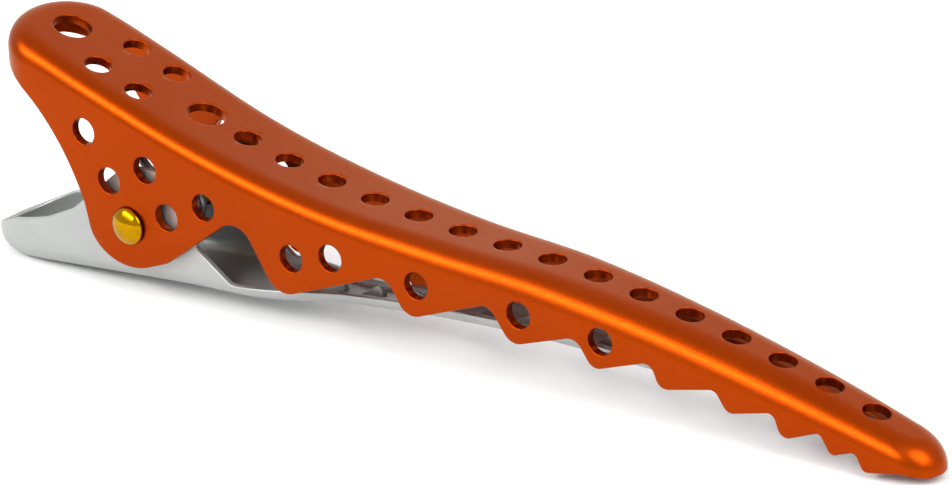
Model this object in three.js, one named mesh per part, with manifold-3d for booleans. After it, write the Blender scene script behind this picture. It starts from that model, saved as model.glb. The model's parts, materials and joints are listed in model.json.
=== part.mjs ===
// Sectioning clip: a drawn aluminium upper jaw, a polished lower jaw with its thumb lever, and the
// two-part rivet and torsion spring of their hinge. Millimetres. +X runs from the lever to the nose,
// +Y across the clip, +Z up. The clip is symmetric about y = 0, but for the teeth of its far wall,
// which stand between those of the near one. The shapes are drawn with x = 0 near mid-length, and
// the finished group is shifted so that it stands on z = 0, centred on its length.
import * as THREE from "three";
import { mergeVertices } from "three/addons/utils/BufferGeometryUtils.js";
import Module from "manifold-3d";

// Upper jaw: [x, top of the back, half of the outer width].
const JAW_STATIONS = [
  [-54, 27.1, 6.95],
  [-40, 22.1, 6.9],
  [-26, 17.5, 6.45],
  [-12, 14.5, 6.1],
  [2, 13.0, 5.45],
  [16, 12.15, 5.15],
  [30, 10.15, 4.6],
  [44, 7.15, 4.0],
  [58, 3.25, 3.05],
];
const JAW_SHEET = 1.0;
// [x, radius of the top edges outside]: larger round the handle's end, and towards the nose.
const JAW_EDGES = [
  [-60, 2.9],
  [-52, 2.9],
  [-44, 2.2],
  [-12, 2.2],
  [2, 2.55],
  [16, 2.85],
  [34, 3.1],
  [44, 3.0],
  [54, 2.45],
  [60, 2.3],
];
const JAW_TAIL = { centre: -47.9, reach: 5.5 }; // the handle's round end, seen from above
const JAW_NOSE = { centre: 54.2, reach: 4.35 };

// Lower edge of the upper jaw's walls, from the tail to the nose; corners are [x, z, radius].
const TAIL_RIM = { x: -54.2, z: 22.5, rise: 0.3, end: -62 };
const NOSE_RIM_END = [62, -0.2];
const TAIL_SCALLOP = { from: [-52.2, 22.4], bend: [-44.5, 18.4], to: [-41.0, 9.3] };
const EAR_LOBE = { rear: 5.4, down: 4.5, start: 0.1, end: 0.66 }; // radii round the pivot; half turns
const EAR_FRONT = [-30.6, 4.6, 1.5];
const NEAR_TEETH = [
  [-21.1, 11.55, 2.5],
  [-16.5, 3.95, 2.6],
  [-3.0, 8.9, 1.8],
  [-0.6, 4.92, 1.9],
  [9.4, 8.5, 1.4],
  [12.0, 4.84, 1.7],
  [19.7, 7.3, 1.5],
  [21.6, 4.36, 1.3],
  [28.3, 6.55, 1.1],
  [29.3, 3.96, 1.2],
  [35.6, 5.3, 0.9],
  [37.0, 3.17, 1.1],
  [42.1, 4.35, 0.8],
  [43.0, 1.82, 1.0],
  [47.2, 3.4, 0.6],
  [48.4, 1.34, 0.7],
  [51.0, 2.25, 0.6],
  [51.9, 0.4, 0.7],
  [55.7, 1.02, 2.0],
];
const FAR_TEETH = [
  [-26.9, 8.2, 1.2],
  [-24.2, 2.9, 1.4],
  [-11.2, 9.1, 1.8],
  [-8.2, 2.3, 1.3],
  [3.1, 8.7, 1.6],
  [5.2, 3.3, 1.5],
  [14.6, 7.9, 1.5],
  [16.8, 4.0, 1.5],
  [24.1, 6.9, 1.2],
  [25.5, 3.9, 1.2],
  [32.1, 5.9, 1.0],
  [33.2, 3.5, 1.1],
  [39.0, 4.8, 0.8],
  [40.1, 2.5, 1.0],
  [44.8, 3.8, 0.7],
  [45.8, 1.6, 0.8],
  [49.2, 2.8, 0.6],
  [50.2, 0.9, 0.7],
  [55.7, 1.02, 2.0],
];

// Holes in the back stand on lines of equal steps along it, counted from the row's first hole.
const BACK_HOLE_RADIUS = 1.4;
const BACK_HOLE_PITCH = 5.5;
const BACK_ROW = { firstX: -24.68, count: 15 };
const BACK_PAIRS = { side: 2.94, at: [-17.64, -12.13] };
const BACK_LARGE = { radius: 2.0, at: [-23.87, -5.43] };
// Holes through both side walls: [x, z].
const EAR_HOLES = [
  [-40.46, 16.85],
  [-37.48, 12.16],
  [-32.75, 14.19],
  [-30.27, 9.6],
  [-25.47, 11.62],
];
// Holes over the teeth of one wall, each at [x, z].
const NEAR_HOLES = [
  [-14.53, 8.45],
  [-9.65, 9.46],
  [0.71, 8.66],
  [13.04, 8.22],
  [22.62, 7.5],
];
const FAR_HOLES = [
  [-20.9, 9.1],
  [-16.0, 10.3],
  [-6.9, 8.3],
  [6.9, 8.2],
  [17.4, 7.7],
];

// Lower jaw: [x, underside, half of the outer width]. The underside is flat under the lever.
const LEVER_STATIONS = [
  [-57.9, 0.2, 5.25],
  [-56, -0.16, 5.25],
  [-54, -0.25, 5.25],
  [-50, 0.06, 5.25],
  [-46, 0.375, 5.25],
  [-38, 1.005, 5.25],
  [-34, 1.32, 5.25],
  [-28, 1.73, 5.18],
  [-24, 1.97, 5.12],
  [-20, 2.26, 4.85],
  [-16, 2.55, 3.85],
  [-12, 2.85, 2.75],
  [-8, 3.2, 2.42],
  [-4, 3.57, 2.4],
  [2, 4.05, 2.4],
  [8, 4.35, 2.4],
  [16, 4.5, 2.4],
  [24, 4.3, 2.4],
  [32, 4.12, 2.35],
  [40, 3.75, 2.3],
  [46, 3.25, 2.25],
  [51, 2.7, 2.2],
];
const LEVER_SHEET = 0.65;
// Radius of the bottom edges outside: large under the lever, smaller along the tongue.
const LEVER_EDGE = { lever: 2.0, tongue: 1.2, from: -32, to: -16 };
const LEVER_TAIL = { centre: -49.7, reach: 8.2 };
const LEVER_TIP = { centre: 48.9, reach: 2.1 };
// Upper edge of the lever's walls and ears: [x, z, corner radius]; the tongue's rails follow it.
const LEVER_RIM = [
  [-52.8, 4.3, 5],
  [-48.2, 5.4, 4],
  [-44.2, 7.25, 3],
  [-36.6, 13.55, 2.5],
  [-29.6, 13.55, 2.2],
  [-27.9, 6.4, 1.5],
  [-23.5, 3.3, 1.2],
];
const RAIL = { from: -18, taper: 28, end: 56, height: 1.3, tipHeight: 0.8, step: 3 };
const LEVER_RIM_START = [-64, -1.3];
// Small teeth standing along the middle of the tongue.
const TONGUE_TEETH = { first: -15.35, pitch: 4.85, count: 13 };
const FIN = { length: 2.7, height: 1.2, thickness: 0.8, sunk: 0.3 };

const PIVOT = { x: -35.2, z: 7.8 };
const PIVOT_HOLE = 1.45;
const RIVET = { head: 1.95, dome: 1.05, rim: 0.2, under: 6.9, barrel: 1.3, bore: 0.95, shank: 0.75 };
const RIVET_ENDS = { barrel: -6.5, bore: 4.2, shank: 3.9 };
const SPRING = { wire: 0.45, radius: 2.35, turns: 4.4, legY: 3 };
const SPRING_LEGS = { upper: [-10.6, 14.2], lower: [-14.6, -6.45] }; // ends, from the pivot

// How far cutters reach beyond the clip, and how finely curves are drawn.
const BEYOND = { low: -8, high: 30, across: 20, middle: 0.1 };
const JAW_STEPS = { side: 38, end: 7, outer: 4, inner: 3, rim: 2 };
const LEVER_STEPS = { side: 40, end: 6, outer: 4, inner: 3, rim: 3 };
const ROUND_SIDES = 16;
const WIRE_STEPS = { turn: 12, path: 100 };

const ORANGE = new THREE.MeshStandardMaterial({ color: 0xb8481c, roughness: 0.35, metalness: 0.9 });
const STEEL = new THREE.MeshStandardMaterial({ color: 0xbfbebb, roughness: 0.25, metalness: 1 });
const WIRE = new THREE.MeshStandardMaterial({ color: 0x8d8f92, roughness: 0.35, metalness: 1 });
const GOLD = new THREE.MeshStandardMaterial({ color: 0xd4a514, roughness: 0.2, metalness: 1 });

const wasm = await Module();
wasm.setup();

// A closed geometry as a manifold solid.
function solid(geometry) {
  const bare = geometry.clone();
  bare.deleteAttribute("normal");
  bare.deleteAttribute("uv");
  const merged = mergeVertices(bare, 1e-4);
  const mesh = new wasm.Mesh({
    numProp: 3,
    vertProperties: new Float32Array(merged.attributes.position.array),
    triVerts: new Uint32Array(merged.index.array),
  });
  return new wasm.Manifold(mesh);
}

// A manifold solid as a geometry.
function geometryOf(made) {
  const mesh = made.getMesh();
  const geometry = new THREE.BufferGeometry();
  geometry.setAttribute("position", new THREE.BufferAttribute(mesh.vertProperties, 3));
  geometry.setIndex(new THREE.BufferAttribute(mesh.triVerts, 1));
  geometry.computeVertexNormals();
  return geometry;
}

// A smooth function of x through one column of a list of stations; its slope at a station is that
// of the chord between the station's neighbours.
function through(stations, column) {
  const last = stations.length - 1;
  const slope = (i) => {
    const [a, b] = [stations[Math.max(i - 1, 0)], stations[Math.min(i + 1, last)]];
    return (b[column] - a[column]) / (b[0] - a[0]);
  };
  return (x) => {
    const at = THREE.MathUtils.clamp(x, stations[0][0], stations[last][0]);
    const i = Math.max(1, stations.findIndex((s) => s[0] >= at)) - 1;
    const step = stations[i + 1][0] - stations[i][0];
    const t = (at - stations[i][0]) / step;
    const [p, q] = [stations[i][column], stations[i + 1][column]];
    const [m, n] = [slope(i) * step, slope(i + 1) * step];
    return (2 * t ** 3 - 3 * t ** 2 + 1) * p + (t ** 3 - 2 * t ** 2 + t) * m
      + (3 * t ** 2 - 2 * t ** 3) * q + (t ** 3 - t ** 2) * n;
  };
}

// One side of a sheet's outline seen from above, from the middle of its tail to the middle of its
// nose: round ends and the given half width between them. Each point has its outward normal.
function sideOutline(tail, nose, halfWidth, sideSteps, endSteps) {
  const points = [];
  const round = (end, outward, i) => {
    const turn = (i / endSteps) * (Math.PI / 2);
    const x = end.centre + outward * end.reach * Math.cos(turn);
    points.push({ x, y: halfWidth(end.centre) * Math.sin(turn) });
  };
  for (let i = 0; i < endSteps; i++) round(tail, -1, i);
  for (let i = 0; i <= sideSteps; i++) {
    const x = THREE.MathUtils.lerp(tail.centre, nose.centre, i / sideSteps);
    points.push({ x, y: halfWidth(x) });
  }
  for (let i = endSteps - 1; i >= 0; i--) round(nose, 1, i);
  points[0].y = 0;
  points[points.length - 1].y = 0;
  points.forEach((p, i) => {
    const before = points[i - 1] ?? { x: points[1].x, y: -points[1].y };
    const after = points[i + 1] ?? { x: points[i - 1].x, y: -points[i - 1].y };
    const length = Math.hypot(after.x - before.x, after.y - before.y);
    p.nx = -(after.y - before.y) / length;
    p.ny = (after.x - before.x) / length;
  });
  return points;
}

// A closed body symmetric about y = 0, from rings of one outline: each ring is the outline moved in
// by its inset, at the height that its rule gives for each x. Rings run from the lowest up.
function lofted(outline, rings) {
  const n = outline.length - 1;
  const positions = [];
  for (const { inset, height } of rings) {
    const side = outline.map((p) => [p.x - p.nx * inset(p.x), p.y - p.ny * inset(p.x)]);
    const mirrored = side.slice(1, n).reverse().map(([x, y]) => [x, -y]);
    for (const [x, y] of [...side, ...mirrored]) positions.push(x, y, height(x));
  }
  const around = 2 * n;
  const index = [];
  for (let r = 0; r + 1 < rings.length; r++) {
    for (let i = 0; i < around; i++) {
      const [a, b] = [r * around + i, r * around + ((i + 1) % around)];
      index.push(a, a + around, b, b, a + around, b + around);
    }
  }
  const cap = (start, up) => {
    for (let i = 0; i < n; i++) {
      const [a, b] = [start + i, start + i + 1];
      const [c, d] = [start + ((around - i - 1) % around), start + ((around - i) % around)];
      const faces = [[a, d, b], [b, d, c]].filter(([p, q, s]) => p !== q && q !== s && p !== s);
      for (const [p, q, s] of faces) index.push(...(up ? [p, q, s] : [p, s, q]));
    }
  };
  cap(0, false);
  cap((rings.length - 1) * around, true);
  const geometry = new THREE.BufferGeometry();
  geometry.setAttribute("position", new THREE.Float32BufferAttribute(positions, 3));
  geometry.setIndex(index);
  return solid(geometry);
}

// Rings of a rounded edge between a wall and a flat, a depth inside the outer surface whose edge
// radius is given for each x: up is 1 for a top edge, -1 for a bottom edge.
function edgeRings(surface, depth, edge, up, steps) {
  const rings = [];
  for (let i = 0; i <= steps; i++) {
    const turn = (i / steps) * (Math.PI / 2);
    const inset = (x) => depth + (edge(x) - depth) * (1 - Math.cos(turn));
    const height = (x) => surface(x) - up * (depth + (edge(x) - depth) * (1 - Math.sin(turn)));
    rings.push({ inset, height });
  }
  return up > 0 ? rings : rings.reverse();
}

// A ring at one height, where a wall starts or ends.
function straightRing(depth, z) {
  return { inset: () => depth, height: () => z };
}

// Adds a corner point of a rim to a shape, rounded to its radius.
function roundedCorner(shape, before, [x, z, radius], after) {
  const corner = new THREE.Vector2(x, z);
  const back = new THREE.Vector2(before[0] - x, before[1] - z).normalize();
  const on = new THREE.Vector2(after[0] - x, after[1] - z).normalize();
  const half = Math.acos(back.dot(on)) / 2;
  const centre = back.clone().add(on).normalize().multiplyScalar(radius / Math.sin(half)).add(corner);
  const start = back.clone().multiplyScalar(radius / Math.tan(half)).add(corner).sub(centre);
  const finish = on.clone().multiplyScalar(radius / Math.tan(half)).add(corner).sub(centre);
  const clockwise = start.cross(finish) < 0;
  shape.absarc(centre.x, centre.y, radius, start.angle(), finish.angle(), clockwise);
}

// Adds a run of rounded corners; the first and last point only give the directions there.
function roundedRun(shape, points) {
  for (let i = 1; i + 1 < points.length; i++) roundedCorner(shape, points[i - 1], points[i], points[i + 1]);
}

// A shape drawn in x and z, extruded across the clip between two values of y.
function across(shape, from, to, arcSteps) {
  const options = { depth: to - from, bevelEnabled: false, curveSegments: arcSteps };
  const geometry = new THREE.ExtrudeGeometry(shape, options);
  return solid(geometry.rotateX(Math.PI / 2).translate(0, to, 0));
}

// A round cutter or pin, centred at a point, along a direction.
function cylinder(radius, length, centre, direction) {
  const geometry = new THREE.CylinderGeometry(radius, radius, length, ROUND_SIDES);
  const own = new THREE.Vector3(0, 1, 0);
  geometry.applyQuaternion(new THREE.Quaternion().setFromUnitVectors(own, direction));
  return solid(geometry.translate(...centre));
}

const jawTop = through(JAW_STATIONS, 1);
const jawHalf = through(JAW_STATIONS, 2);
const jawEdge = through(JAW_EDGES, 1);
const leverEdge = (x) => {
  const toTongue = THREE.MathUtils.smoothstep(x, LEVER_EDGE.from, LEVER_EDGE.to);
  return THREE.MathUtils.lerp(LEVER_EDGE.lever, LEVER_EDGE.tongue, toTongue);
};
const leverUnder = through(LEVER_STATIONS, 1);
const leverHalf = through(LEVER_STATIONS, 2);

// The x that lies a length along the back from the row's first hole.
function alongBack(length) {
  const step = 0.05 * Math.sign(length);
  let x = BACK_ROW.firstX;
  for (let done = 0; Math.abs(done) < Math.abs(length) - 1e-9; ) {
    const part = Math.abs(length - done) < Math.abs(step) ? length - done : step;
    const slope = (jawTop(x + 0.01) - jawTop(x - 0.01)) / 0.02;
    x += part / Math.hypot(1, slope);
    done += part;
  }
  return x;
}

// A hole through the back, square to it.
function backHole(length, side, radius) {
  const x = alongBack(length);
  const normal = new THREE.Vector3(-(jawTop(x + 0.01) - jawTop(x - 0.01)) / 0.02, 0, 1).normalize();
  return cylinder(radius, 4 * JAW_SHEET, [x, side, jawTop(x)], normal);
}

// What lies under one wall of the upper jaw: side is -1 for the near wall and 1 for the far one.
function belowJawRim(teeth, side) {
  const shape = new THREE.Shape();
  const { from, bend, to } = TAIL_SCALLOP;
  shape.moveTo(TAIL_RIM.end, BEYOND.low);
  shape.lineTo(TAIL_RIM.end, TAIL_RIM.z + TAIL_RIM.rise);
  shape.lineTo(TAIL_RIM.x, TAIL_RIM.z);
  shape.lineTo(...from);
  shape.quadraticCurveTo(...bend, ...to);
  const { rear, down, start, end } = EAR_LOBE;
  const [first, last] = [Math.PI * (1 + start), Math.PI * (1 + end)];
  shape.absellipse(PIVOT.x, PIVOT.z, rear, down, first, last, false);
  const lobeEnd = [PIVOT.x + rear * Math.cos(last), PIVOT.z + down * Math.sin(last)];
  roundedRun(shape, [lobeEnd, EAR_FRONT, ...teeth, NOSE_RIM_END]);
  shape.lineTo(...NOSE_RIM_END);
  shape.lineTo(NOSE_RIM_END[0], BEYOND.low);
  const ends = [-side * BEYOND.middle, side * BEYOND.across];
  return across(shape, Math.min(...ends), Math.max(...ends), JAW_STEPS.rim);
}

// A hole through both walls, square to the clip.
function throughWalls(radius, x, z) {
  return cylinder(radius, BEYOND.across, [x, 0, z], new THREE.Vector3(0, 1, 0));
}

// The same through one wall: side is -1 for the near one and 1 for the far one.
function throughWall(radius, x, z, side) {
  const centre = [x, (side * BEYOND.across) / 2, z];
  return cylinder(radius, BEYOND.across, centre, new THREE.Vector3(0, 1, 0));
}

// The upper jaw: handle, ears, toothed walls and nose drawn from one sheet.
function makeUpperJaw() {
  const outline = sideOutline(JAW_TAIL, JAW_NOSE, jawHalf, JAW_STEPS.side, JAW_STEPS.end);
  const outerEdge = edgeRings(jawTop, 0, jawEdge, 1, JAW_STEPS.outer);
  const innerEdge = edgeRings(jawTop, JAW_SHEET, jawEdge, 1, JAW_STEPS.inner);
  const outer = lofted(outline, [straightRing(0, -1), ...outerEdge]);
  const inner = lofted(outline, [straightRing(JAW_SHEET, BEYOND.low), ...innerEdge]);
  const cutters = [inner, belowJawRim(NEAR_TEETH, -1), belowJawRim(FAR_TEETH, 1)];
  for (let i = 0; i < BACK_ROW.count; i++) {
    cutters.push(backHole(i * BACK_HOLE_PITCH, 0, BACK_HOLE_RADIUS));
  }
  for (const at of BACK_PAIRS.at) {
    for (const side of [-1, 1]) cutters.push(backHole(at, side * BACK_PAIRS.side, BACK_HOLE_RADIUS));
  }
  for (const at of BACK_LARGE.at) cutters.push(backHole(at, 0, BACK_LARGE.radius));
  for (const [x, z] of EAR_HOLES) cutters.push(throughWalls(BACK_HOLE_RADIUS, x, z));
  for (const [x, z] of NEAR_HOLES) cutters.push(throughWall(BACK_HOLE_RADIUS, x, z, -1));
  for (const [x, z] of FAR_HOLES) cutters.push(throughWall(BACK_HOLE_RADIUS, x, z, 1));
  cutters.push(throughWalls(PIVOT_HOLE, PIVOT.x, PIVOT.z));
  return cutters.reduce((jaw, cutter) => jaw.subtract(cutter), outer);
}

// What lies above the lower jaw's walls, ears and rails.
function aboveLeverRim() {
  const shape = new THREE.Shape();
  const railTop = (x) => {
    const t = THREE.MathUtils.smoothstep(x, RAIL.taper, LEVER_TIP.centre);
    return leverUnder(x) + THREE.MathUtils.lerp(RAIL.height, RAIL.tipHeight, t);
  };
  shape.moveTo(LEVER_RIM_START[0], BEYOND.high);
  shape.lineTo(...LEVER_RIM_START);
  roundedRun(shape, [LEVER_RIM_START, ...LEVER_RIM, [RAIL.from, railTop(RAIL.from)]]);
  for (let x = RAIL.from; x <= RAIL.end; x += RAIL.step) shape.lineTo(x, railTop(x));
  shape.lineTo(RAIL.end + RAIL.step, railTop(RAIL.end));
  shape.lineTo(RAIL.end + RAIL.step, BEYOND.high);
  return across(shape, -BEYOND.across, BEYOND.across, LEVER_STEPS.rim);
}

// One tooth of the tongue: a fin with a slow rise at the rear and a round, steep front.
function tongueTooth(x) {
  const { length, height, thickness, sunk } = FIN;
  const floor = leverUnder(x + length / 2) + LEVER_SHEET;
  const crest = [x + 0.68 * length, floor + height];
  const fin = new THREE.Shape();
  fin.moveTo(x, floor - sunk);
  fin.lineTo(x, floor);
  fin.quadraticCurveTo(x + length / 2, floor + 0.6 * height, ...crest);
  fin.quadraticCurveTo(x + length, floor + height, x + length, floor - sunk);
  return across(fin, -thickness / 2, thickness / 2, LEVER_STEPS.rim);
}

// The lower jaw: thumb lever, ears and toothed tongue pressed from one sheet.
function makeLowerJaw() {
  const outline = sideOutline(LEVER_TAIL, LEVER_TIP, leverHalf, LEVER_STEPS.side, LEVER_STEPS.end);
  const outerEdge = edgeRings(leverUnder, 0, leverEdge, -1, LEVER_STEPS.outer);
  const innerEdge = edgeRings(leverUnder, LEVER_SHEET, leverEdge, -1, LEVER_STEPS.inner);
  const outer = lofted(outline, [...outerEdge, straightRing(0, BEYOND.high - 1)]);
  const inner = lofted(outline, [...innerEdge, straightRing(LEVER_SHEET, BEYOND.high)]);
  let lever = outer.subtract(inner).subtract(aboveLeverRim());
  for (let i = 0; i < TONGUE_TEETH.count; i++) {
    lever = lever.add(tongueTooth(TONGUE_TEETH.first + i * TONGUE_TEETH.pitch));
  }
  return lever.subtract(throughWalls(PIVOT_HOLE, PIVOT.x, PIVOT.z));
}

// Profile of a rivet's domed head, from its edge under the wall to the axis; outward is -1 or 1 in y.
function headProfile(outward) {
  const points = [[RIVET.head, outward * RIVET.under]];
  const steps = ROUND_SIDES / 4;
  for (let i = 0; i <= steps; i++) {
    const turn = (i / steps) * (Math.PI / 2);
    const rise = RIVET.rim + (RIVET.dome - RIVET.rim) * Math.sin(turn);
    points.push([RIVET.head * Math.cos(turn), outward * (RIVET.under + rise)]);
  }
  return points;
}

function revolved(profile) {
  const points = profile.map(([r, y]) => new THREE.Vector2(Math.max(r, 0) < 1e-6 ? 0 : r, y));
  return new THREE.LatheGeometry(points, ROUND_SIDES);
}

// The near half of the rivet: a domed head with the shank that goes into the barrel.
function makeRivetPost() {
  const { shank, under } = RIVET;
  const pin = [[shank, -under], [shank, RIVET_ENDS.shank], [0, RIVET_ENDS.shank]];
  return revolved([...headProfile(-1).reverse(), ...pin]);
}

// The far half: a domed head with the tube that both jaws and the spring turn on.
function makeRivetBarrel() {
  const tube = [
    [0, RIVET_ENDS.bore],
    [RIVET.bore, RIVET_ENDS.bore],
    [RIVET.bore, RIVET_ENDS.barrel],
    [RIVET.barrel, RIVET_ENDS.barrel],
    [RIVET.barrel, RIVET.under],
  ];
  return revolved([...tube, ...headProfile(1)]);
}

// The torsion spring, round the hinge's axis: a coil with one leg up into the handle and one on the lever.
function makeSpring() {
  const { wire, radius, turns, legY } = SPRING;
  const { upper, lower } = SPRING_LEGS;
  const coilY = legY - 2 * wire;
  const points = [new THREE.Vector3(upper[0], -legY, upper[1])];
  const startTurn = Math.atan2(upper[1], upper[0]) - Math.PI / 2;
  const steps = Math.round(turns * WIRE_STEPS.turn);
  const wholeTurn = 2 * Math.PI * turns;
  for (let i = 0; i <= steps; i++) {
    const turn = startTurn - (wholeTurn * i) / steps;
    const y = THREE.MathUtils.lerp(-coilY, coilY, i / steps);
    points.push(new THREE.Vector3(radius * Math.cos(turn), y, radius * Math.sin(turn)));
  }
  points.push(new THREE.Vector3(lower[0], legY, lower[1]));
  const path = new THREE.CatmullRomCurve3(points, false, "centripetal");
  const section = new THREE.Shape().absarc(0, 0, wire, 0, 2 * Math.PI, false);
  const options = { steps: WIRE_STEPS.path, extrudePath: path, curveSegments: 3, bevelEnabled: false };
  return new THREE.ExtrudeGeometry(section, options);
}

function named(name, geometry, material) {
  const mesh = new THREE.Mesh(geometry, material);
  mesh.name = name;
  return mesh;
}

const clip = new THREE.Group();
clip.add(named("upper_jaw", geometryOf(makeUpperJaw()), ORANGE));
clip.add(named("lower_jaw", geometryOf(makeLowerJaw()), STEEL));

const hinge = new THREE.Group();
hinge.position.set(PIVOT.x, 0, PIVOT.z);
hinge.add(named("rivet_post", makeRivetPost(), GOLD));
hinge.add(named("rivet_barrel", makeRivetBarrel(), GOLD));
hinge.add(named("torsion_spring", makeSpring(), WIRE));
clip.add(hinge);

// The origin is under the middle of the clip's length, at the height it stands on.
const box = new THREE.Box3().setFromObject(clip, true);
clip.position.set(-(box.min.x + box.max.x) / 2, 0, -box.min.z);

export default clip;
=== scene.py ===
"""Sectioning clip: the looks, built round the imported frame.

Each jaw is a sheet of even thickness, drawn here as a fine grid with rounded rims and holes. The
rivet halves are turned, and the spring is a swept wire. Shapes are drawn in millimetres round the
drawing's own origin, and moved to the frame's hinge when they become meshes in metres.
"""
import json
import math

import bmesh
import bpy
import numpy as np
from mathutils import Matrix, Vector


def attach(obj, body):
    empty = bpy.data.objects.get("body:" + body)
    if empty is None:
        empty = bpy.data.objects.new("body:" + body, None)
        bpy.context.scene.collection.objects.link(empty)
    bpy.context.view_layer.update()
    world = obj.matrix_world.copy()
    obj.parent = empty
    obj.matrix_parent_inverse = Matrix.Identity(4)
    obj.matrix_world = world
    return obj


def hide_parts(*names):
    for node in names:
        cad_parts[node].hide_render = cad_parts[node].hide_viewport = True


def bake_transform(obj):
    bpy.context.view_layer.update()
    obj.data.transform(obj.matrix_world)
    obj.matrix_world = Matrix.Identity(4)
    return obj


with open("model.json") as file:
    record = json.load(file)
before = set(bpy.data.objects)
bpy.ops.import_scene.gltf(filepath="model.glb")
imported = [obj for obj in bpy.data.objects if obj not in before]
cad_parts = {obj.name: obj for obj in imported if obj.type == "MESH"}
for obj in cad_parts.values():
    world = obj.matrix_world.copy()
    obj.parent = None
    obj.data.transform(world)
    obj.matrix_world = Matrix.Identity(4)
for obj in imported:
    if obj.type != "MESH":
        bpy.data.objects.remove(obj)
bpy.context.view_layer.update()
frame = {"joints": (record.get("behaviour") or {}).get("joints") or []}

MM = 0.001
HINGE = next(j for j in frame["joints"] if j["name"] == "jaw_hinge")

# ---------------------------------------------------------------- sizes, in millimetres
PIVOT = (-35.2, 7.8)
# Where the drawing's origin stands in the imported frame.
ORIGIN = Vector(HINGE["pos_m"]) - Vector((PIVOT[0], 0, PIVOT[1])) * MM

# Upper jaw: (x, top of the back, half of the outer width).
JAW_STATIONS = [
    (-54, 27.1, 6.95),
    (-40, 22.1, 6.9),
    (-26, 17.5, 6.45),
    (-12, 14.5, 6.1),
    (2, 13.0, 5.45),
    (16, 12.15, 5.15),
    (30, 10.15, 4.6),
    (44, 7.15, 4.0),
    (58, 3.25, 3.05),
]
JAW_SHEET = 1.0
# (x, radius of the top edges outside): larger round the handle's end, and towards the nose.
JAW_EDGES = [
    (-60, 2.9),
    (-52, 2.9),
    (-44, 2.2),
    (-12, 2.2),
    (2, 2.55),
    (16, 2.85),
    (34, 3.1),
    (44, 3.0),
    (54, 2.45),
    (60, 2.3),
]
JAW_TAIL = {"centre": -47.9, "reach": 5.5}
JAW_NOSE = {"centre": 54.2, "reach": 4.35}
TAIL_RIM = {"x": -54.2, "z": 22.5, "rise": 0.3, "end": -62}
NOSE_RIM_END = (62, -0.2)
TAIL_SCALLOP = {"from": (-52.2, 22.4), "bend": (-44.5, 18.4), "to": (-41.0, 9.3)}
EAR_LOBE = {"rear": 5.4, "down": 4.5, "start": 0.1, "end": 0.66}
# Corners of the two toothed walls' rims: (x, z, radius). The far teeth stand between the near ones.
EAR_FRONT = (-30.6, 4.6, 1.5)
NEAR_TEETH = [
    (-21.1, 11.55, 2.5),
    (-16.5, 3.95, 2.6),
    (-3.0, 8.9, 1.8),
    (-0.6, 4.92, 1.9),
    (9.4, 8.5, 1.4),
    (12.0, 4.84, 1.7),
    (19.7, 7.3, 1.5),
    (21.6, 4.36, 1.3),
    (28.3, 6.55, 1.1),
    (29.3, 3.96, 1.2),
    (35.6, 5.3, 0.9),
    (37.0, 3.17, 1.1),
    (42.1, 4.35, 0.8),
    (43.0, 1.82, 1.0),
    (47.2, 3.4, 0.6),
    (48.4, 1.34, 0.7),
    (51.0, 2.25, 0.6),
    (51.9, 0.4, 0.7),
    (55.7, 1.02, 2.0),
]
FAR_TEETH = [
    (-26.9, 8.2, 1.2),
    (-24.2, 2.9, 1.4),
    (-11.2, 9.1, 1.8),
    (-8.2, 2.3, 1.3),
    (3.1, 8.7, 1.6),
    (5.2, 3.3, 1.5),
    (14.6, 7.9, 1.5),
    (16.8, 4.0, 1.5),
    (24.1, 6.9, 1.2),
    (25.5, 3.9, 1.2),
    (32.1, 5.9, 1.0),
    (33.2, 3.5, 1.1),
    (39.0, 4.8, 0.8),
    (40.1, 2.5, 1.0),
    (44.8, 3.8, 0.7),
    (45.8, 1.6, 0.8),
    (49.2, 2.8, 0.6),
    (50.2, 0.9, 0.7),
    (55.7, 1.02, 2.0),
]
HOLE_RADIUS = 1.4
HOLE_PITCH = 5.5
BACK_ROW = {"first_x": -24.68, "count": 15}
BACK_PAIRS = {"side": 2.94, "at": (-17.64, -12.13)}
BACK_LARGE = {"radius": 2.0, "at": (-23.87, -5.43)}
# Holes through both walls, and those over the teeth of one wall: (x, z).
EAR_HOLES = [
    (-40.46, 16.85),
    (-37.48, 12.16),
    (-32.75, 14.19),
    (-30.27, 9.6),
    (-25.47, 11.62),
]
NEAR_HOLES = [
    (-14.53, 8.45),
    (-9.65, 9.46),
    (0.71, 8.66),
    (13.04, 8.22),
    (22.62, 7.5),
]
FAR_HOLES = [
    (-20.9, 9.1),
    (-16.0, 10.3),
    (-6.9, 8.3),
    (6.9, 8.2),
    (17.4, 7.7),
]

# Lower jaw: (x, underside, half of the outer width).
LEVER_STATIONS = [
    (-57.9, 0.2, 5.25),
    (-56, -0.16, 5.25),
    (-54, -0.25, 5.25),
    (-50, 0.06, 5.25),
    (-46, 0.375, 5.25),
    (-38, 1.005, 5.25),
    (-34, 1.32, 5.25),
    (-28, 1.73, 5.18),
    (-24, 1.97, 5.12),
    (-20, 2.26, 4.85),
    (-16, 2.55, 3.85),
    (-12, 2.85, 2.75),
    (-8, 3.2, 2.42),
    (-4, 3.57, 2.4),
    (2, 4.05, 2.4),
    (8, 4.35, 2.4),
    (16, 4.5, 2.4),
    (24, 4.3, 2.4),
    (32, 4.12, 2.35),
    (40, 3.75, 2.3),
    (46, 3.25, 2.25),
    (51, 2.7, 2.2),
]
LEVER_SHEET = 0.65
LEVER_EDGE = {"lever": 2.0, "tongue": 1.2, "from": -32, "to": -16}
LEVER_TAIL = {"centre": -49.7, "reach": 8.2}
LEVER_TIP = {"centre": 48.9, "reach": 2.1}
LEVER_RIM = [
    (-52.8, 4.3, 5),
    (-48.2, 5.4, 4),
    (-44.2, 7.25, 3),
    (-36.6, 13.55, 2.5),
    (-29.6, 13.55, 2.2),
    (-27.9, 6.4, 1.5),
    (-23.5, 3.3, 1.2),
]
LEVER_RIM_START = (-64, -1.3)
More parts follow.
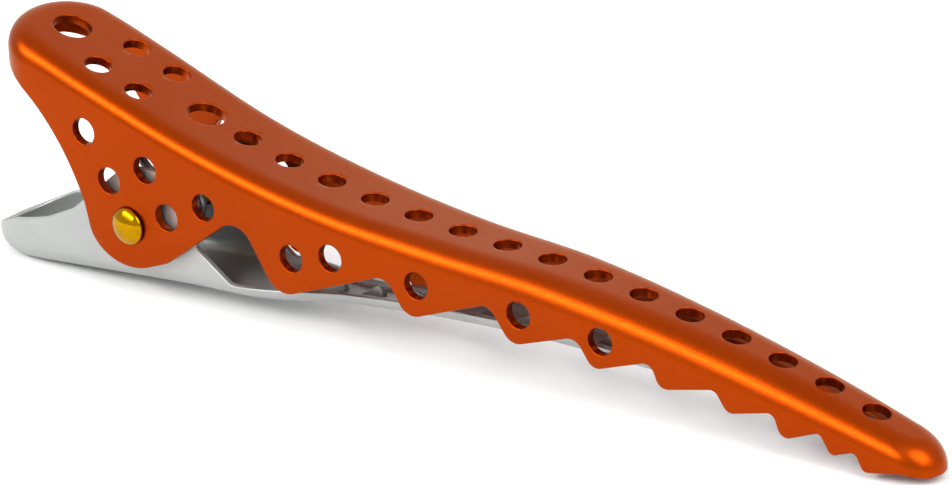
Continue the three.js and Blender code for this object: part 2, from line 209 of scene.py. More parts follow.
RAIL = {"from": -18, "taper": 28, "height": 1.3, "tip_height": 0.8, "end": 56}
TONGUE_TEETH = {"first": -15.35, "pitch": 4.85, "count": 13}
FIN = {"length": 2.7, "height": 1.2, "thickness": 0.5, "foot": 1.15, "sunk": 0.3}
# Shares of a fin's length or height: where its crest begins, how high its rise bends half-way, the
# middle that its sides draw in to, and the size of its two side faces.
FIN_SHARES = {"crest": 0.68, "bend": 0.6, "middle": 0.62, "side": 0.86}

PIVOT_HOLE = 1.45
RIVET = {"head": 1.95, "dome": 1.05, "rim": 0.2, "under": 6.9, "barrel": 1.3, "bore": 0.95, "shank": 0.75}
RIVET_ENDS = {"barrel": -6.5, "bore": 4.2, "shank": 3.9}
# The head's lower edge, drawn in and lifted; how full its dome is; and the ends' chamfers.
RIVET_EDGES = {"inset": 0.08, "lift": 0.05, "fullness": 0.75, "shank": 0.15, "tube": 0.1}
SPRING = {"wire": 0.45, "radius": 2.35, "turns": 4.4, "leg_y": 3, "upper_leg": (-10.6, 14.2),
          "lower_leg": (-14.6, -6.45)}
SPRING_ENDS = {"inset": 0.02, "narrow": 0.75}

RIM_ROUNDING = 0.13
HOLE_ROUNDING = 0.09
# A hole's cutter: how far it flares outside the sheet, spreads inside it and goes on past both, and
# how many degrees its outer rounding turns.
CUTTER = {"flare": 0.25, "spread": 0.3, "over": 0.8, "outer_turn": 66}

# How finely the pieces are drawn.
GRID_STEP = 0.55
LEAST_STEP = 0.035
MERGE_DISTANCE = 1e-4
SLOPE_REACH = 0.01
BACK_SAMPLES = 4000
SCALLOP_POINTS = 24
RAIL_STEP = 2.0
ARC_STEP = math.radians(8)
CREASE_ANGLE = math.radians(38)
# Points round a quarter of a sheet's end, rows over the rounded edge and down the wall, and columns
# across the flat.
JAW_GRID = {"end_steps": 22, "rows": (9, 9), "columns": 12}
LEVER_GRID = {"end_steps": 28, "rows": (8, 8), "columns": 10}
FIN_POINTS = {"rise": 12, "front": 14, "layers": 13}
DOME_POINTS = 16
RIM_TURNS = np.radians([0, 30, 60, 90])
HOLE_EDGE_POINTS = 4
TURNED_SIDES = 64
CUTTER_SIDES = 48
WIRE = {"sides": 16, "per_turn": 12, "step": 0.3}


# ---------------------------------------------------------------- curves
def smoothstep(x, low, high):
    t = np.clip((np.asarray(x, float) - low) / (high - low), 0, 1)
    return t * t * (3 - 2 * t)


def through(stations, column):
    """A smooth function of x through one column of a list of stations; its slope at a station is
    that of the chord between the station's neighbours."""
    xs = np.array([s[0] for s in stations], float)
    ys = np.array([s[column] for s in stations], float)
    last = len(xs) - 1
    before = np.maximum(np.arange(last + 1) - 1, 0)
    after = np.minimum(np.arange(last + 1) + 1, last)
    slopes = (ys[after] - ys[before]) / (xs[after] - xs[before])

    def value(x):
        at = np.clip(x, xs[0], xs[-1])
        i = np.clip(np.searchsorted(xs, at) - 1, 0, last - 1)
        step = xs[i + 1] - xs[i]
        t = (at - xs[i]) / step
        return (
            (2 * t**3 - 3 * t**2 + 1) * ys[i]
            + (t**3 - 2 * t**2 + t) * slopes[i] * step
            + (3 * t**2 - 2 * t**3) * ys[i + 1]
            + (t**3 - t**2) * slopes[i + 1] * step
        )

    return value


def slope_of(curve, x):
    """How steeply a function of x rises at one place."""
    return float(curve(x + SLOPE_REACH) - curve(x - SLOPE_REACH)) / (2 * SLOPE_REACH)


def bend(p, q, r, count):
    """Points on a quadratic curve from p to r, drawn towards q."""
    p, q, r = Vector(p), Vector(q), Vector(r)
    return [tuple(p * (1 - t) ** 2 + q * 2 * t * (1 - t) + r * t * t) for t in np.linspace(0, 1, count)]


def arc(centre, radii, start, end):
    """Points on an arc of an ellipse, from one angle to another."""
    count = max(2, math.ceil(abs(end - start) / ARC_STEP))
    turn = np.linspace(start, end, count + 1)
    return [(centre[0] + radii[0] * math.cos(a), centre[1] + radii[1] * math.sin(a)) for a in turn]


def rounded_corner(before, corner, after):
    """The arc that rounds one corner (x, z, radius) between two neighbouring points."""
    at, radius = Vector(corner[:2]), corner[2]
    back = (Vector(before[:2]) - at).normalized()
    on = (Vector(after[:2]) - at).normalized()
    half = math.acos(back.dot(on)) / 2
    centre = at + (back + on).normalized() * (radius / math.sin(half))
    start = at + back * (radius / math.tan(half)) - centre
    end = at + on * (radius / math.tan(half)) - centre
    first = math.atan2(start.y, start.x)
    turn = (math.atan2(end.y, end.x) - first + math.pi) % (2 * math.pi) - math.pi
    return arc(centre, (radius, radius), first, first + turn)


def rounded_run(points):
    """A run of rounded corners; the first and last point only give the directions there."""
    run = []
    for i in range(1, len(points) - 1):
        run += rounded_corner(points[i - 1], points[i], points[i + 1])
    return run


def filled(points, step):
    """The same polyline with points added wherever it goes further than a step."""
    dense = [points[0]]
    for a, b in zip(points, points[1:]):
        count = max(1, math.ceil(math.dist(a, b) / step))
        for i in range(1, count + 1):
            dense.append((a[0] + (b[0] - a[0]) * i / count, a[1] + (b[1] - a[1]) * i / count))
    return dense


jaw_top = through(JAW_STATIONS, 1)
jaw_half = through(JAW_STATIONS, 2)
jaw_edge = through(JAW_EDGES, 1)
lever_under = through(LEVER_STATIONS, 1)
lever_half = through(LEVER_STATIONS, 2)


def lever_edge(x):
    to_tongue = smoothstep(x, LEVER_EDGE["from"], LEVER_EDGE["to"])
    return LEVER_EDGE["lever"] + (LEVER_EDGE["tongue"] - LEVER_EDGE["lever"]) * to_tongue


def jaw_rim(corners):
    """Lower edge of one wall of the upper jaw, from its tail to its nose."""
    scallop = bend(TAIL_SCALLOP["from"], TAIL_SCALLOP["bend"], TAIL_SCALLOP["to"], SCALLOP_POINTS)
    lobe = arc(PIVOT, (EAR_LOBE["rear"], EAR_LOBE["down"]),
               math.pi * (1 + EAR_LOBE["start"]), math.pi * (1 + EAR_LOBE["end"]))
    teeth = rounded_run([lobe[-1], EAR_FRONT, *corners, NOSE_RIM_END])
    before = [(TAIL_RIM["end"], TAIL_RIM["z"] + TAIL_RIM["rise"]), (TAIL_RIM["x"], TAIL_RIM["z"])]
    return filled([*before, *scallop, *lobe, *teeth, NOSE_RIM_END], GRID_STEP)


def lever_rim():
    """Upper edge of the lower jaw's walls, ears and rails, from its tail to its tip."""
    def rail_top(x):
        t = smoothstep(x, RAIL["taper"], LEVER_TIP["centre"])
        return float(lever_under(x) + RAIL["height"] + (RAIL["tip_height"] - RAIL["height"]) * t)

    rails = [(float(x), rail_top(x)) for x in np.arange(RAIL["from"], RAIL["end"], RAIL_STEP)]
    corners = rounded_run([LEVER_RIM_START, *LEVER_RIM, rails[0]])
    return filled([LEVER_RIM_START, *corners, *rails], GRID_STEP)


# ---------------------------------------------------------------- meshes
def mesh_object(name, vertices, faces):
    """An object from points of the drawing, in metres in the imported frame, its faces turned out."""
    placed = [tuple(ORIGIN + Vector(v) * MM) for v in vertices]
    mesh = bpy.data.meshes.new(name)
    mesh.from_pydata(placed, [], faces)
    made = bmesh.new()
    made.from_mesh(mesh)
    bmesh.ops.remove_doubles(made, verts=made.verts, dist=MERGE_DISTANCE * MM)
    bmesh.ops.recalc_face_normals(made, faces=made.faces)
    made.to_mesh(mesh)
    made.free()
    obj = bpy.data.objects.new(name, mesh)
    bpy.context.scene.collection.objects.link(obj)
    return obj


def stations_on(rims, tail, nose):
    """The x of every point of some rims between a sheet's round ends, no two nearly the same."""
    xs = sorted({tail["centre"], nose["centre"], *(p[0] for rim in rims for p in rim)})
    kept = [tail["centre"]]
    for x in xs:
        if x - kept[-1] > LEAST_STEP and nose["centre"] - x > LEAST_STEP:
            kept.append(x)
    return np.array([*kept, nose["centre"]])


def side_outline(tail, nose, half_width, side_x, end_steps):
    """One side of a sheet's outline seen from above, from the middle of its tail to the middle of
    its nose, as arrays: x, y, the outward normal and the length along it."""
    turn = np.linspace(0, math.pi / 2, end_steps, endpoint=False)
    tail_half, nose_half = half_width(tail["centre"]), half_width(nose["centre"])
    xs = np.concatenate([
        tail["centre"] - tail["reach"] * np.cos(turn),
        side_x,
        nose["centre"] + nose["reach"] * np.cos(turn[::-1]),
    ])
    ys = np.concatenate([tail_half * np.sin(turn), half_width(side_x), nose_half * np.sin(turn[::-1])])
    # Beyond each end stands the mirrored side's next point, so the normal at the end lies along x.
    wide_x = np.concatenate([[xs[1]], xs, [xs[-2]]])
    wide_y = np.concatenate([[-ys[1]], ys, [-ys[-2]]])
    dx, dy = wide_x[2:] - wide_x[:-2], wide_y[2:] - wide_y[:-2]
    length = np.hypot(dx, dy)
    along = np.concatenate([[0], np.cumsum(np.hypot(np.diff(xs), np.diff(ys)))])
    return {"x": xs, "y": ys, "nx": -dy / length, "ny": dx / length, "s": along}


def wall_ends(outline, surface, edge, up, sheet, rim):
    """Where a wall ends, as a length down it from its rounded edge, or back round the edge where it
    is negative; with the direction into the sheet there, along the outline and down the wall."""
    rim_x, rim_z = np.array(rim).T
    middle = sheet / 2
    x = outline["x"] - outline["nx"] * middle
    radius = edge(x)
    drop = up * (surface(x) - up * radius - np.interp(x, rim_x, rim_z))
    inside = np.arcsin(np.clip(-drop / (radius - middle), 0, 1))
    ends = np.where(drop > 0, drop, -inside * radius)
    slope = np.gradient(ends, outline["s"])
    slope[0] = slope[-1] = 0
    lean = np.hypot(slope, 1)
    return ends, slope / lean, -1 / lean


def side_rings(outline, surface, edge, up, sheet, rim, rows):
    """One side of a drawn sheet, from the flat's outer face round the rim to its inner face."""
    s = outline["s"]
    ends, in_s, in_u = wall_ends(outline, surface, edge, up, sheet, rim)
    radius = edge(outline["x"] - outline["nx"] * sheet / 2)

    def place(depth, at_s, at_u):
        px, py, nx, ny = (np.interp(at_s, s, outline[k]) for k in ("x", "y", "nx", "ny"))
        turn = np.clip(-at_u / np.interp(at_s, s, radius), 0, math.pi / 2)
        inset = depth + (edge(px) - depth) * (1 - np.cos(turn))
        at_x = px - nx * inset
        below = depth + (edge(at_x) - depth) * (1 - np.sin(turn)) + np.maximum(at_u, 0)
        y = py - ny * inset
        y[0] = y[-1] = 0
        return np.stack([at_x, y, surface(at_x) - up * below], 1)

    start = -math.pi / 2 * radius
    stop = ends + RIM_ROUNDING * in_u
    split = np.minimum(0, start + (stop - start) * rows[0] / sum(rows))
    faces = []
    for depth in (0, sheet):
        rings = []
        for j in range(sum(rows)):
            round_part, wall_part = min(j / rows[0], 1), max(j - rows[0], 0) / rows[1]
            u = start + (split - start) * round_part + (stop - split) * wall_part
            rings.append(place(depth, s, u))
        for turn in RIM_TURNS:
            into = RIM_ROUNDING * (1 - math.cos(turn))
            off = RIM_ROUNDING * (1 - math.sin(turn))
            rings.append(place(abs(depth - into), s + off * in_s, ends + off * in_u))
        faces.append(rings)
    return faces[0] + faces[1][::-1]


def sheet_shell(name, outline, surface, edge, up, sheet, rims, rows, columns):
    """A drawn sheet: a flat that follows surface(x), rounded into walls that end on their rims, the
    near one and the far one. up is 1 where the flat is on top and -1 where it is below."""
    near, far = (side_rings(outline, surface, edge, up, sheet, rim, rows) for rim in rims)
    n = len(outline["x"]) - 1
    around = 2 * n
    vertices, faces = [], []
    for near_ring, far_ring in zip(near, far):
        vertices += [tuple(p) for p in far_ring]
        vertices += [(p[0], -p[1], p[2]) for p in near_ring[n - 1:0:-1]]
    for r in range(len(near) - 1):
        for i in range(around):
            a, c = r * around + i, r * around + (i + 1) % around
            faces.append((a, c, c + around, a + around))
    for ring in (0, len(near) - 1):
        first = ring * around
        strip = []
        for i in range(n + 1):
            left, right = first + i, first + (around - i) % around
            if left == right:
                strip.append([left] * (columns + 1))
                continue
            row = [left]
            for k in range(1, columns):
                p, q = vertices[left], vertices[right]
                vertices.append((p[0], p[1] + (q[1] - p[1]) * k / columns, p[2]))
                row.append(len(vertices) - 1)
            strip.append([*row, right])
        for one, two in zip(strip, strip[1:]):
            for k in range(columns):
                faces.append(tuple(dict.fromkeys((one[k], one[k + 1], two[k + 1], two[k]))))
    return mesh_object(name, vertices, faces)


def turned(name, profile, centre, axis, sides=TURNED_SIDES):
    """A closed solid of revolution: profile holds (radius, height along the axis) from the axis to
    the axis."""
    upright = Vector((0, 0, 1)).rotation_difference(Vector(axis)).to_matrix()
    vertices, faces, rings = [], [], []
    for r, h in profile:
        if r == 0:
            rings.append([len(vertices)] * sides)
            vertices.append(tuple(Vector(centre) + upright @ Vector((0, 0, h))))
            continue
        rings.append(list(range(len(vertices), len(vertices) + sides)))
        for i in range(sides):
            turn = 2 * math.pi * i / sides
            spot = Vector((r * math.cos(turn), r * math.sin(turn), h))
            vertices.append(tuple(Vector(centre) + upright @ spot))
    for low, high in zip(rings, rings[1:]):
        for i in range(sides):
            k = (i + 1) % sides
            corners = tuple(dict.fromkeys((low[i], low[k], high[k], high[i])))
            if len(corners) > 2:
                faces.append(corners)
    return mesh_object(name, vertices, faces)


def hole_cutter(radius, sheet, centre, outward):
    """What a punched hole takes out of a sheet: rounded at the outer face, eased at the inner."""
    b = HOLE_ROUNDING
    flare, spread, over = (CUTTER[k] for k in ("flare", "spread", "over"))
    turns = np.radians(np.linspace(0, CUTTER["outer_turn"], HOLE_EDGE_POINTS))
    outer = [(radius + b * (1 - math.cos(a)), -b + b * math.sin(a)) for a in turns]
    last = outer[-1]
    slope = math.tan(math.radians(90 - CUTTER["outer_turn"]))
    outer.append((last[0] + flare, last[1] + flare * slope))
    eased = b / 2
    inner = [(radius + eased + spread, -sheet - spread), (radius + eased, -sheet), (radius, -sheet + eased)]
    below = [(0, -sheet - over), (inner[0][0], -sheet - over)]
    above = [(outer[-1][0], over), (0, over)]
    return turned("cutter", [*below, *inner, *outer, *above], centre, outward, CUTTER_SIDES)


def joined(objects):
    """Several mesh objects as the first of them."""
    made = bmesh.new()
    for obj in objects:
        made.from_mesh(obj.data)
    first = objects[0]
    made.to_mesh(first.data)
    made.free()
    for obj in objects[1:]:
        bpy.data.objects.remove(obj)
    return first


def combine(target, other, operation):
    """Cuts or joins two closed meshes for good."""
    step = target.modifiers.new(operation, "BOOLEAN")
    step.operation = operation
    step.solver = "EXACT"
    step.object = other
    seen = target.evaluated_get(bpy.context.evaluated_depsgraph_get())
    mesh = bpy.data.meshes.new_from_object(seen)
    target.modifiers.clear()
    target.data = mesh
    bpy.data.objects.remove(other)


def smooth(obj):
    """Smooth shading, kept crisp over sharper edges, led by the larger faces."""
    obj.data.shade_smooth()
    obj.data.set_sharp_from_angle(angle=CREASE_ANGLE)
    step = obj.modifiers.new("normals", "WEIGHTED_NORMAL")
    step.keep_sharp = True


# ---------------------------------------------------------------- upper jaw
def along_back(length):
    """The x that lies a length along the back from the row's first hole."""
    x = np.linspace(JAW_TAIL["centre"], JAW_NOSE["centre"], BACK_SAMPLES)
    run = np.concatenate([[0], np.cumsum(np.hypot(np.diff(x), np.diff(jaw_top(x))))])
    return float(np.interp(length + np.interp(BACK_ROW["first_x"], x, run), run, x))


def back_hole(length, side, radius):
    x = along_back(length)
    upward = (-slope_of(jaw_top, x), 0, 1)
    return hole_cutter(radius, JAW_SHEET, (x, side, float(jaw_top(x))), upward)


def wall_holes(x, z, radius, sheet, half_width, sides=(-1, 1)):
    """The holes that one punch leaves, in both walls or in one: -1 is the near one."""
    half = float(half_width(x))
    slope = slope_of(half_width, x)
    return [hole_cutter(radius, sheet, (x, side * half, z), (-slope, side, 0)) for side in sides]


def make_upper_jaw():
    rims = [jaw_rim(NEAR_TEETH), jaw_rim(FAR_TEETH)]
    side_x = stations_on(rims, JAW_TAIL, JAW_NOSE)
    outline = side_outline(JAW_TAIL, JAW_NOSE, jaw_half, side_x, JAW_GRID["end_steps"])
    jaw = sheet_shell("upper_jaw_shell", outline, jaw_top, jaw_edge, 1, JAW_SHEET, rims,
                      JAW_GRID["rows"], JAW_GRID["columns"])
    cutters = [back_hole(i * HOLE_PITCH, 0, HOLE_RADIUS) for i in range(BACK_ROW["count"])]
    for at in BACK_PAIRS["at"]:
        cutters += [back_hole(at, side * BACK_PAIRS["side"], HOLE_RADIUS) for side in (-1, 1)]
    cutters += [back_hole(at, 0, BACK_LARGE["radius"]) for at in BACK_LARGE["at"]]
    for sides, holes in (((-1, 1), EAR_HOLES), ((-1,), NEAR_HOLES), ((1,), FAR_HOLES)):
        for x, z in holes:
            cutters += wall_holes(x, z, HOLE_RADIUS, JAW_SHEET, jaw_half, sides)
    cutters += wall_holes(*PIVOT, PIVOT_HOLE, JAW_SHEET, jaw_half)
    combine(jaw, joined(cutters), "DIFFERENCE")
    smooth(jaw)
    return jaw


# ---------------------------------------------------------------- lower jaw
def tongue_tooth(x):
    """One tooth of the tongue: a fin with a slow rise at the rear and a round, steep front, broader
    at its foot than along its crest."""
    length, height, sunk = (FIN[k] for k in ("length", "height", "sunk"))
    floor = float(lever_under(x + length / 2)) + LEVER_SHEET
    foot = floor - sunk
    crest = (x + FIN_SHARES["crest"] * length, floor + height)
    half_way = (x + length / 2, floor + FIN_SHARES["bend"] * height)
    rise = bend((x, floor), half_way, crest, FIN_POINTS["rise"])
    front = bend(crest, (x + length, floor + height), (x + length, foot), FIN_POINTS["front"])
    ridge = [(x, foot), *rise, *front[1:]]
    count = len(ridge)
    middle = x + FIN_SHARES["middle"] * length
    least = FIN_SHARES["side"]
    # Layers from one side face to the other: each is the ridge line, smaller towards the sides.
    sideways = np.linspace(-1, 1, FIN_POINTS["layers"])
    vertices, faces = [], []
    for across in sideways:
        squeeze = least + (1 - least) * math.sqrt(1 - across**2)
        for px, pz in ridge:
            up = (pz - foot) / (height + sunk)
            half = FIN["foot"] / 2 + (FIN["thickness"] - FIN["foot"]) / 2 * up
            vertices.append((middle + (px - middle) * squeeze, across * half, foot + (pz - foot) * squeeze))
    for r in range(len(sideways) - 1):
        for i in range(count):
            k = (i + 1) % count
            faces.append((r * count + i, r * count + k, (r + 1) * count + k, (r + 1) * count + i))
    faces.append(tuple(range(count)))
    faces.append(tuple(range((len(sideways) - 1) * count, len(sideways) * count)))
    return mesh_object("tooth", vertices, faces)


def make_lower_jaw():
    rim = lever_rim()
    side_x = stations_on([rim], LEVER_TAIL, LEVER_TIP)
    outline = side_outline(LEVER_TAIL, LEVER_TIP, lever_half, side_x, LEVER_GRID["end_steps"])
    lever = sheet_shell("lower_jaw_channel", outline, lever_under, lever_edge, -1, LEVER_SHEET, [rim, rim],
                        LEVER_GRID["rows"], LEVER_GRID["columns"])
    first, pitch = TONGUE_TEETH["first"], TONGUE_TEETH["pitch"]
    teeth = [tongue_tooth(first + i * pitch) for i in range(TONGUE_TEETH["count"])]
    combine(lever, joined(teeth), "UNION")
    combine(lever, joined(wall_holes(*PIVOT, PIVOT_HOLE, LEVER_SHEET, lever_half)), "DIFFERENCE")
    smooth(lever)
    return lever


# ---------------------------------------------------------------- rivet and spring
def head_profile():
    """A domed head from its edge under the wall to the axis: radius and height over the wall."""
    head, rim, dome = RIVET["head"], RIVET["rim"], RIVET["dome"]
    points = [(head - RIVET_EDGES["inset"], 0), (head, RIVET_EDGES["lift"])]
    for turn in np.radians(np.linspace(0, 90, DOME_POINTS))[:-1]:
        r = math.cos(turn)
        points.append((head * r, rim + (dome - rim) * (1 - r * r) ** RIVET_EDGES["fullness"]))
    points.append((0, dome))
    return [(r, RIVET["under"] + h) for r, h in points]


def make_rivet_post():
    shank, end, edge = RIVET["shank"], RIVET_ENDS["shank"], RIVET_EDGES["shank"]
    foot = [(0, -end), (shank - edge, -end), (shank, -end + edge), (shank, RIVET["under"])]
    post = turned("rivet_post_turned", [*foot, *head_profile()], (PIVOT[0], 0, PIVOT[1]), (0, -1, 0))
    smooth(post)
    return post


def make_rivet_barrel():
    bore, barrel, end, edge = RIVET["bore"], RIVET["barrel"], RIVET_ENDS["barrel"], RIVET_EDGES["tube"]
    mouth = [(0, RIVET_ENDS["bore"]), (bore, RIVET_ENDS["bore"]), (bore, end + edge), (bore + edge, end)]
    tube = [(barrel - edge, end), (barrel, end + edge), (barrel, RIVET["under"])]
    part = turned("rivet_barrel_turned", [*mouth, *tube, *head_profile()], (PIVOT[0], 0, PIVOT[1]), (0, 1, 0))
    smooth(part)
    return part


def curve_through(points, step):
    """A centripetal Catmull-Rom curve through points, sampled about every step."""
    ghost = [points[0] * 2 - points[1], *points, points[-1] * 2 - points[-2]]
    out = []
    for p0, p1, p2, p3 in zip(ghost, ghost[1:], ghost[2:], ghost[3:]):
        t = [0.0]
        for a, b in ((p0, p1), (p1, p2), (p2, p3)):
            t.append(t[-1] + max(1e-4, (b - a).length) ** 0.5)
        count = max(1, math.ceil((p2 - p1).length / step))
        for i in range(count):
            u = t[1] + (t[2] - t[1]) * i / count
            a1 = p0 * ((t[1] - u) / (t[1] - t[0])) + p1 * ((u - t[0]) / (t[1] - t[0]))
            a2 = p1 * ((t[2] - u) / (t[2] - t[1])) + p2 * ((u - t[1]) / (t[2] - t[1]))
            a3 = p2 * ((t[3] - u) / (t[3] - t[2])) + p3 * ((u - t[2]) / (t[3] - t[2]))
            b1 = a1 * ((t[2] - u) / (t[2] - t[0])) + a2 * ((u - t[0]) / (t[2] - t[0]))
            b2 = a2 * ((t[3] - u) / (t[3] - t[1])) + a3 * ((u - t[1]) / (t[3] - t[1]))
            out.append(b1 * ((t[2] - u) / (t[2] - t[1])) + b2 * ((u - t[1]) / (t[2] - t[1])))
    out.append(points[-1])
    return out


def make_spring():
    radius, turns, leg_y, wire = (SPRING[k] for k in ("radius", "turns", "leg_y", "wire"))
    sides = WIRE["sides"]
    coil_y = leg_y - 2 * wire
    up_x, up_z = SPRING["upper_leg"]
    low_x, low_z = SPRING["lower_leg"]
    points = [Vector((up_x, -leg_y, up_z))]
    first = math.atan2(up_z, up_x) - math.pi / 2
    steps = round(turns * WIRE["per_turn"])
    for i in range(steps + 1):
        turn = first - 2 * math.pi * turns * i / steps
        y = -coil_y + 2 * coil_y * i / steps
        points.append(Vector((radius * math.cos(turn), y, radius * math.sin(turn))))
    points.append(Vector((low_x, leg_y, low_z)))
    path = curve_through(points, WIRE["step"])
    centre = Vector((PIVOT[0], 0, PIVOT[1]))
    tangents = [(b - a).normalized() for a, b in zip([path[0], *path[:-1]], [*path[1:], path[-1]])]
    side = tangents[0].cross(Vector((0, 1, 0))).normalized()
    vertices, faces, rings = [], [], []

    def ring(at, u, v, r):
        rings.append(len(vertices))
        for k in range(sides):
            a = 2 * math.pi * k / sides
            vertices.append(tuple(centre + at + (u * math.cos(a) + v * math.sin(a)) * r))

    for i, (p, t) in enumerate(zip(path, tangents)):
        side = (side - t * side.dot(t)).normalized()
        other = t.cross(side)
        if i == 0:
            ring(p + t * SPRING_ENDS["inset"], side, other, wire * SPRING_ENDS["narrow"])
        elif i == len(path) - 1:
            ring(p - t * SPRING_ENDS["inset"], side, other, wire * SPRING_ENDS["narrow"])
        else:
            ring(p, side, other, wire)
    for a, b in zip(rings, rings[1:]):
        for k in range(sides):
            m = (k + 1) % sides
            faces.append((a + k, a + m, b + m, b + k))
    faces.append(tuple(range(rings[0], rings[0] + sides)))
    faces.append(tuple(range(rings[-1], rings[-1] + sides)))
    spring = mesh_object("torsion_spring_wire", vertices, faces)
    smooth(spring)
    return spring


# ---------------------------------------------------------------- materials
def linear(red, green, blue):
    """A colour given as on a screen, from 0 to 255, in the shader's linear values."""
    def channel(c):
        return ((c / 255 + 0.055) / 1.055) ** 2.4 if c > 10 else c / 255 / 12.92

    return (channel(red), channel(green), channel(blue), 1)


class Nodes:
    """A material being wired up."""

    def __init__(self, name):
        self.material = bpy.data.materials.new(name)
        self.material.use_nodes = True
        self.tree = self.material.node_tree
        self.shader = self.tree.nodes["Principled BSDF"]
        self.place = self.tree.nodes.new("ShaderNodeTexCoord").outputs["Object"]

    def plug(self, value, socket):
        """Links a value that comes from another node, and sets a plain one."""
        if isinstance(value, bpy.types.NodeSocket):
            self.tree.links.new(value, socket)
        else:
            socket.default_value = value

    def node(self, kind, **inputs):
        made = self.tree.nodes.new(kind)
        for key, value in inputs.items():
            self.plug(value, made.inputs[key.replace("_", " ")])
        return made

    def noise(self, size_mm, detail=4.0, roughness=0.55, place=None):
        """Noise whose blotches are about the given size."""
        return self.node("ShaderNodeTexNoise", Vector=place or self.place, Scale=1 / (size_mm * MM),
                         Detail=detail, Roughness=roughness).outputs[0]

    def stretched(self, x, y, z):
        """The place, squeezed so that a pattern runs along one direction."""
        return self.node("ShaderNodeMapping", Vector=self.place, Scale=(x, y, z)).outputs[0]

    def ramp(self, value, low, high, to_low, to_high):
        return self.node("ShaderNodeMapRange", Value=value, From_Min=low, From_Max=high,
                         To_Min=to_low, To_Max=to_high).outputs[0]

    def mix(self, factor, a, b):
        made = self.tree.nodes.new("ShaderNodeMix")
        made.data_type = "RGBA"
        for key, value in (("Factor_Float", factor), ("A_Color", a), ("B_Color", b)):
            self.plug(value, next(s for s in made.inputs if s.identifier == key))
        return next(s for s in made.outputs if s.identifier == "Result_Color")

    def bump(self, height, strength, distance_mm, after=None):
        made = self.node("ShaderNodeBump", Height=height, Strength=strength, Distance=distance_mm * MM)
        if after is not None:
            self.tree.links.new(after, made.inputs["Normal"])
        return made.outputs[0]

    def set(self, **inputs):
        for key, value in inputs.items():
            self.plug(value, self.shader.inputs[key.replace("_", " ")])


def anodised_orange():
    m = Nodes("anodised_orange")
    drift = m.ramp(m.noise(14, 2), 0.35, 0.65, 0, 1)
    dye = m.mix(drift, linear(158, 56, 1), linear(154, 53, 1))
    speckle = m.ramp(m.noise(0.22, 3), 0.56, 0.74, 0, 0.25)
    colour = m.mix(speckle, dye, linear(164, 64, 6))
    rough = m.ramp(m.noise(0.5, 5), 0.3, 0.7, 0.31, 0.38)
    grain = m.bump(m.noise(0.16, 3), 0.35, 0.006)
    drawn = m.bump(m.noise(1.6, 2, place=m.stretched(0.12, 1, 1)), 0.25, 0.01, grain)
    m.set(Base_Color=colour, Metallic=1.0, Roughness=rough, Normal=drawn, Specular_Tint=(1, 0.97, 0.82, 1),
          Coat_Weight=0.03, Coat_Roughness=0.35)
    return m.material


def polished_steel():
    m = Nodes("polished_steel")
    haze = m.ramp(m.noise(5, 4), 0.35, 0.7, 0, 1)
    colour = m.mix(haze, linear(164, 166, 164), linear(157, 159, 157))
    scratches = m.noise(0.35, 3, place=m.stretched(0.05, 1, 1))
    rough = m.ramp(scratches, 0.3, 0.75, 0.32, 0.4)
    wave = m.bump(m.noise(7, 1), 0.25, 0.03)
    lines = m.bump(scratches, 0.03, 0.001, wave)
    m.set(Base_Color=colour, Metallic=0.6, Roughness=rough, Normal=lines)
    return m.material


def spring_wire():
    m = Nodes("spring_wire")
    stain = m.ramp(m.noise(1.5, 4), 0.4, 0.7, 0, 1)
    colour = m.mix(stain, linear(172, 172, 174), linear(136, 135, 134))
    rough = m.ramp(m.noise(0.3, 4), 0.3, 0.7, 0.25, 0.4)
    drawn = m.bump(m.noise(0.12, 3), 0.25, 0.006)
    m.set(Base_Color=colour, Metallic=1.0, Roughness=rough, Normal=drawn)
    return m.material


def gold_rivet():
    m = Nodes("gold_rivet")
    tone = m.ramp(m.noise(0.8, 3), 0.35, 0.65, 0, 1)
    colour = m.mix(tone, linear(178, 132, 6), linear(164, 120, 5))
    rough = m.ramp(m.noise(0.25, 4), 0.3, 0.7, 0.1, 0.18)
    pits = m.bump(m.noise(0.3, 3), 0.18, 0.01)
    m.set(Base_Color=colour, Metallic=1.0, Roughness=rough, Normal=pits)
    return m.material


def pale_floor():
    m = Nodes("pale_floor")
    tone = m.ramp(m.noise(60, 2), 0.3, 0.7, 0, 1)
    m.set(Base_Color=m.mix(tone, linear(237, 237, 237), linear(234, 234, 234)), Roughness=0.7)
    return m.material


# ---------------------------------------------------------------- pieces on their bodies
PIECES = [
    (make_upper_jaw(), "upper_jaw", "upper", "anodised_orange", anodised_orange()),
    (make_lower_jaw(), "lower_jaw", "lower", "polished_steel", polished_steel()),
    (make_rivet_post(), "rivet_post", "upper", "gold_rivet", gold_rivet()),
    (make_rivet_barrel(), "rivet_barrel", "upper", "gold_rivet", bpy.data.materials["gold_rivet"]),
]
for piece, node, body, slot, material in PIECES:
    piece.data.materials.clear()
    piece.data.materials.append(material)
    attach(piece, body)
    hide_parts(node)

spring = make_spring()
spring.data.materials.append(spring_wire())
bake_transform(spring)
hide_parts("torsion_spring")


# ---------------------------------------------------------------- floor, light and camera
# Metres and watts. The camera's angles are in degrees, and its lens and sensor in millimetres.
FLOOR_REACH = 3.0
LIGHTS_AIM = (0, 0, 0.01)
# Towards the nose the key and its glow slope down, and to the near side.
KEY_ALONG = (1, -0.25, -0.2)
# Each light's name, place, size, power, and the direction that its first size runs along.
LIGHTS = [
    ("key", (-0.16, -0.435, 0.34), (0.58, 0.1), 2.6, KEY_ALONG),
    ("glow", (-0.17, -0.47, 0.365), (0.64, 0.34), 0.9, KEY_ALONG),
    ("nose_light", (0.42, -0.12, 0.36), (0.34, 0.3), 2.1, (1, 0, 0)),
]
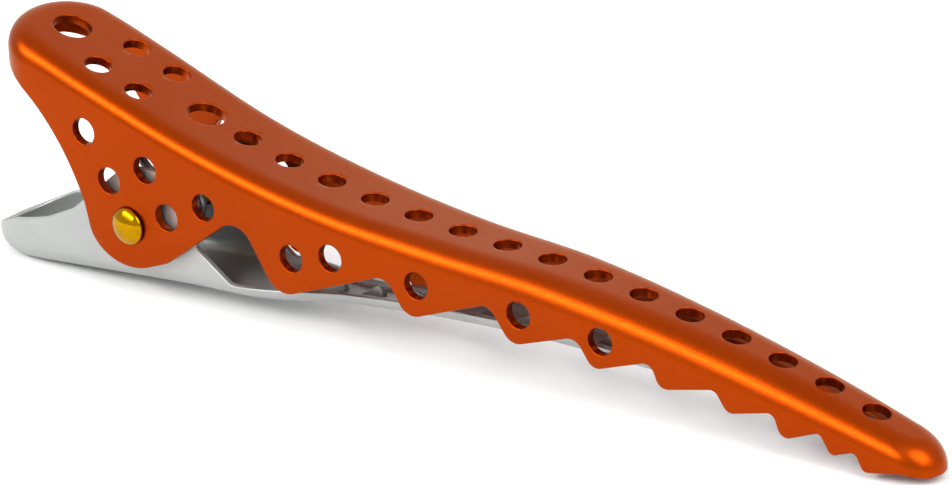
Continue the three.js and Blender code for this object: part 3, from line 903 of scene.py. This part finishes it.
# Between which y of the direction looked in the surround changes, and its strength on each side.
SURROUND = {"from": -0.6, "to": 0.8, "front": 0.82, "behind": 1.12}
CAMERA = {"azimuth": 39.20, "elevation": 21.43, "roll": -2.45, "distance": 0.61295, "lens": 237.77,
          "sensor": 36, "clip": (0.05, 20)}
CAMERA_AIM = ORIGIN + Vector((2.17, 2.25, 10.93)) * MM


def make_floor():
    reach = FLOOR_REACH
    corners = [(-reach, -reach, 0), (reach, -reach, 0), (reach, reach, 0), (-reach, reach, 0)]
    mesh = bpy.data.meshes.new("floor")
    mesh.from_pydata(corners, [], [(0, 1, 2, 3)])
    floor = bpy.data.objects.new("floor", mesh)
    bpy.context.scene.collection.objects.link(floor)
    mesh.materials.append(pale_floor())


def soft_box(name, place, size, power, along):
    """An area light that faces the object's middle; its first size runs along a direction."""
    data = bpy.data.lights.new(name, "AREA")
    data.shape = "RECTANGLE"
    data.size, data.size_y = size
    data.energy = power
    light = bpy.data.objects.new(name, data)
    back = (Vector(place) - Vector(LIGHTS_AIM)).normalized()
    right = (Vector(along) - back * back.dot(Vector(along))).normalized()
    turn = Matrix((right, back.cross(right), back)).transposed().to_4x4()
    light.matrix_world = Matrix.Translation(Vector(place)) @ turn
    bpy.context.scene.collection.objects.link(light)


def make_world():
    """A soft white surround, a little brighter behind the object than in front of it."""
    world = bpy.data.worlds.new("studio")
    world.use_nodes = True
    nodes, links = world.node_tree.nodes, world.node_tree.links
    direction = nodes.new("ShaderNodeTexCoord").outputs["Generated"]
    parts = nodes.new("ShaderNodeSeparateXYZ")
    links.new(direction, parts.inputs[0])
    across = nodes.new("ShaderNodeMapRange")
    across.interpolation_type = "SMOOTHSTEP"
    for key, value in (("From Min", "from"), ("From Max", "to"), ("To Min", "front"), ("To Max", "behind")):
        across.inputs[key].default_value = SURROUND[value]
    links.new(parts.outputs["Y"], across.inputs["Value"])
    nodes["Background"].inputs["Color"].default_value = (1, 1, 1, 1)
    links.new(across.outputs[0], nodes["Background"].inputs["Strength"])
    bpy.context.scene.world = world


def make_camera():
    azimuth, elevation, roll = (math.radians(CAMERA[k]) for k in ("azimuth", "elevation", "roll"))
    right = Vector((math.cos(azimuth), math.sin(azimuth), 0))
    back = Vector((math.sin(azimuth) * math.cos(elevation), -math.cos(azimuth) * math.cos(elevation),
                   math.sin(elevation)))
    up = back.cross(right)
    tilted = right * math.cos(roll) + up * math.sin(roll)
    raised = back.cross(tilted)
    data = bpy.data.cameras.new("camera")
    data.lens = CAMERA["lens"]
    data.sensor_width = CAMERA["sensor"]
    data.clip_start, data.clip_end = CAMERA["clip"]
    camera = bpy.data.objects.new("camera", data)
    turn = Matrix((tilted, raised, back)).transposed().to_4x4()
    camera.matrix_world = Matrix.Translation(CAMERA_AIM + back * CAMERA["distance"]) @ turn
    bpy.context.scene.collection.objects.link(camera)
    bpy.context.scene.camera = camera


make_floor()
make_world()
for light in LIGHTS:
    soft_box(*light)
bpy.context.scene.view_settings.view_transform = "Standard"
make_camera()
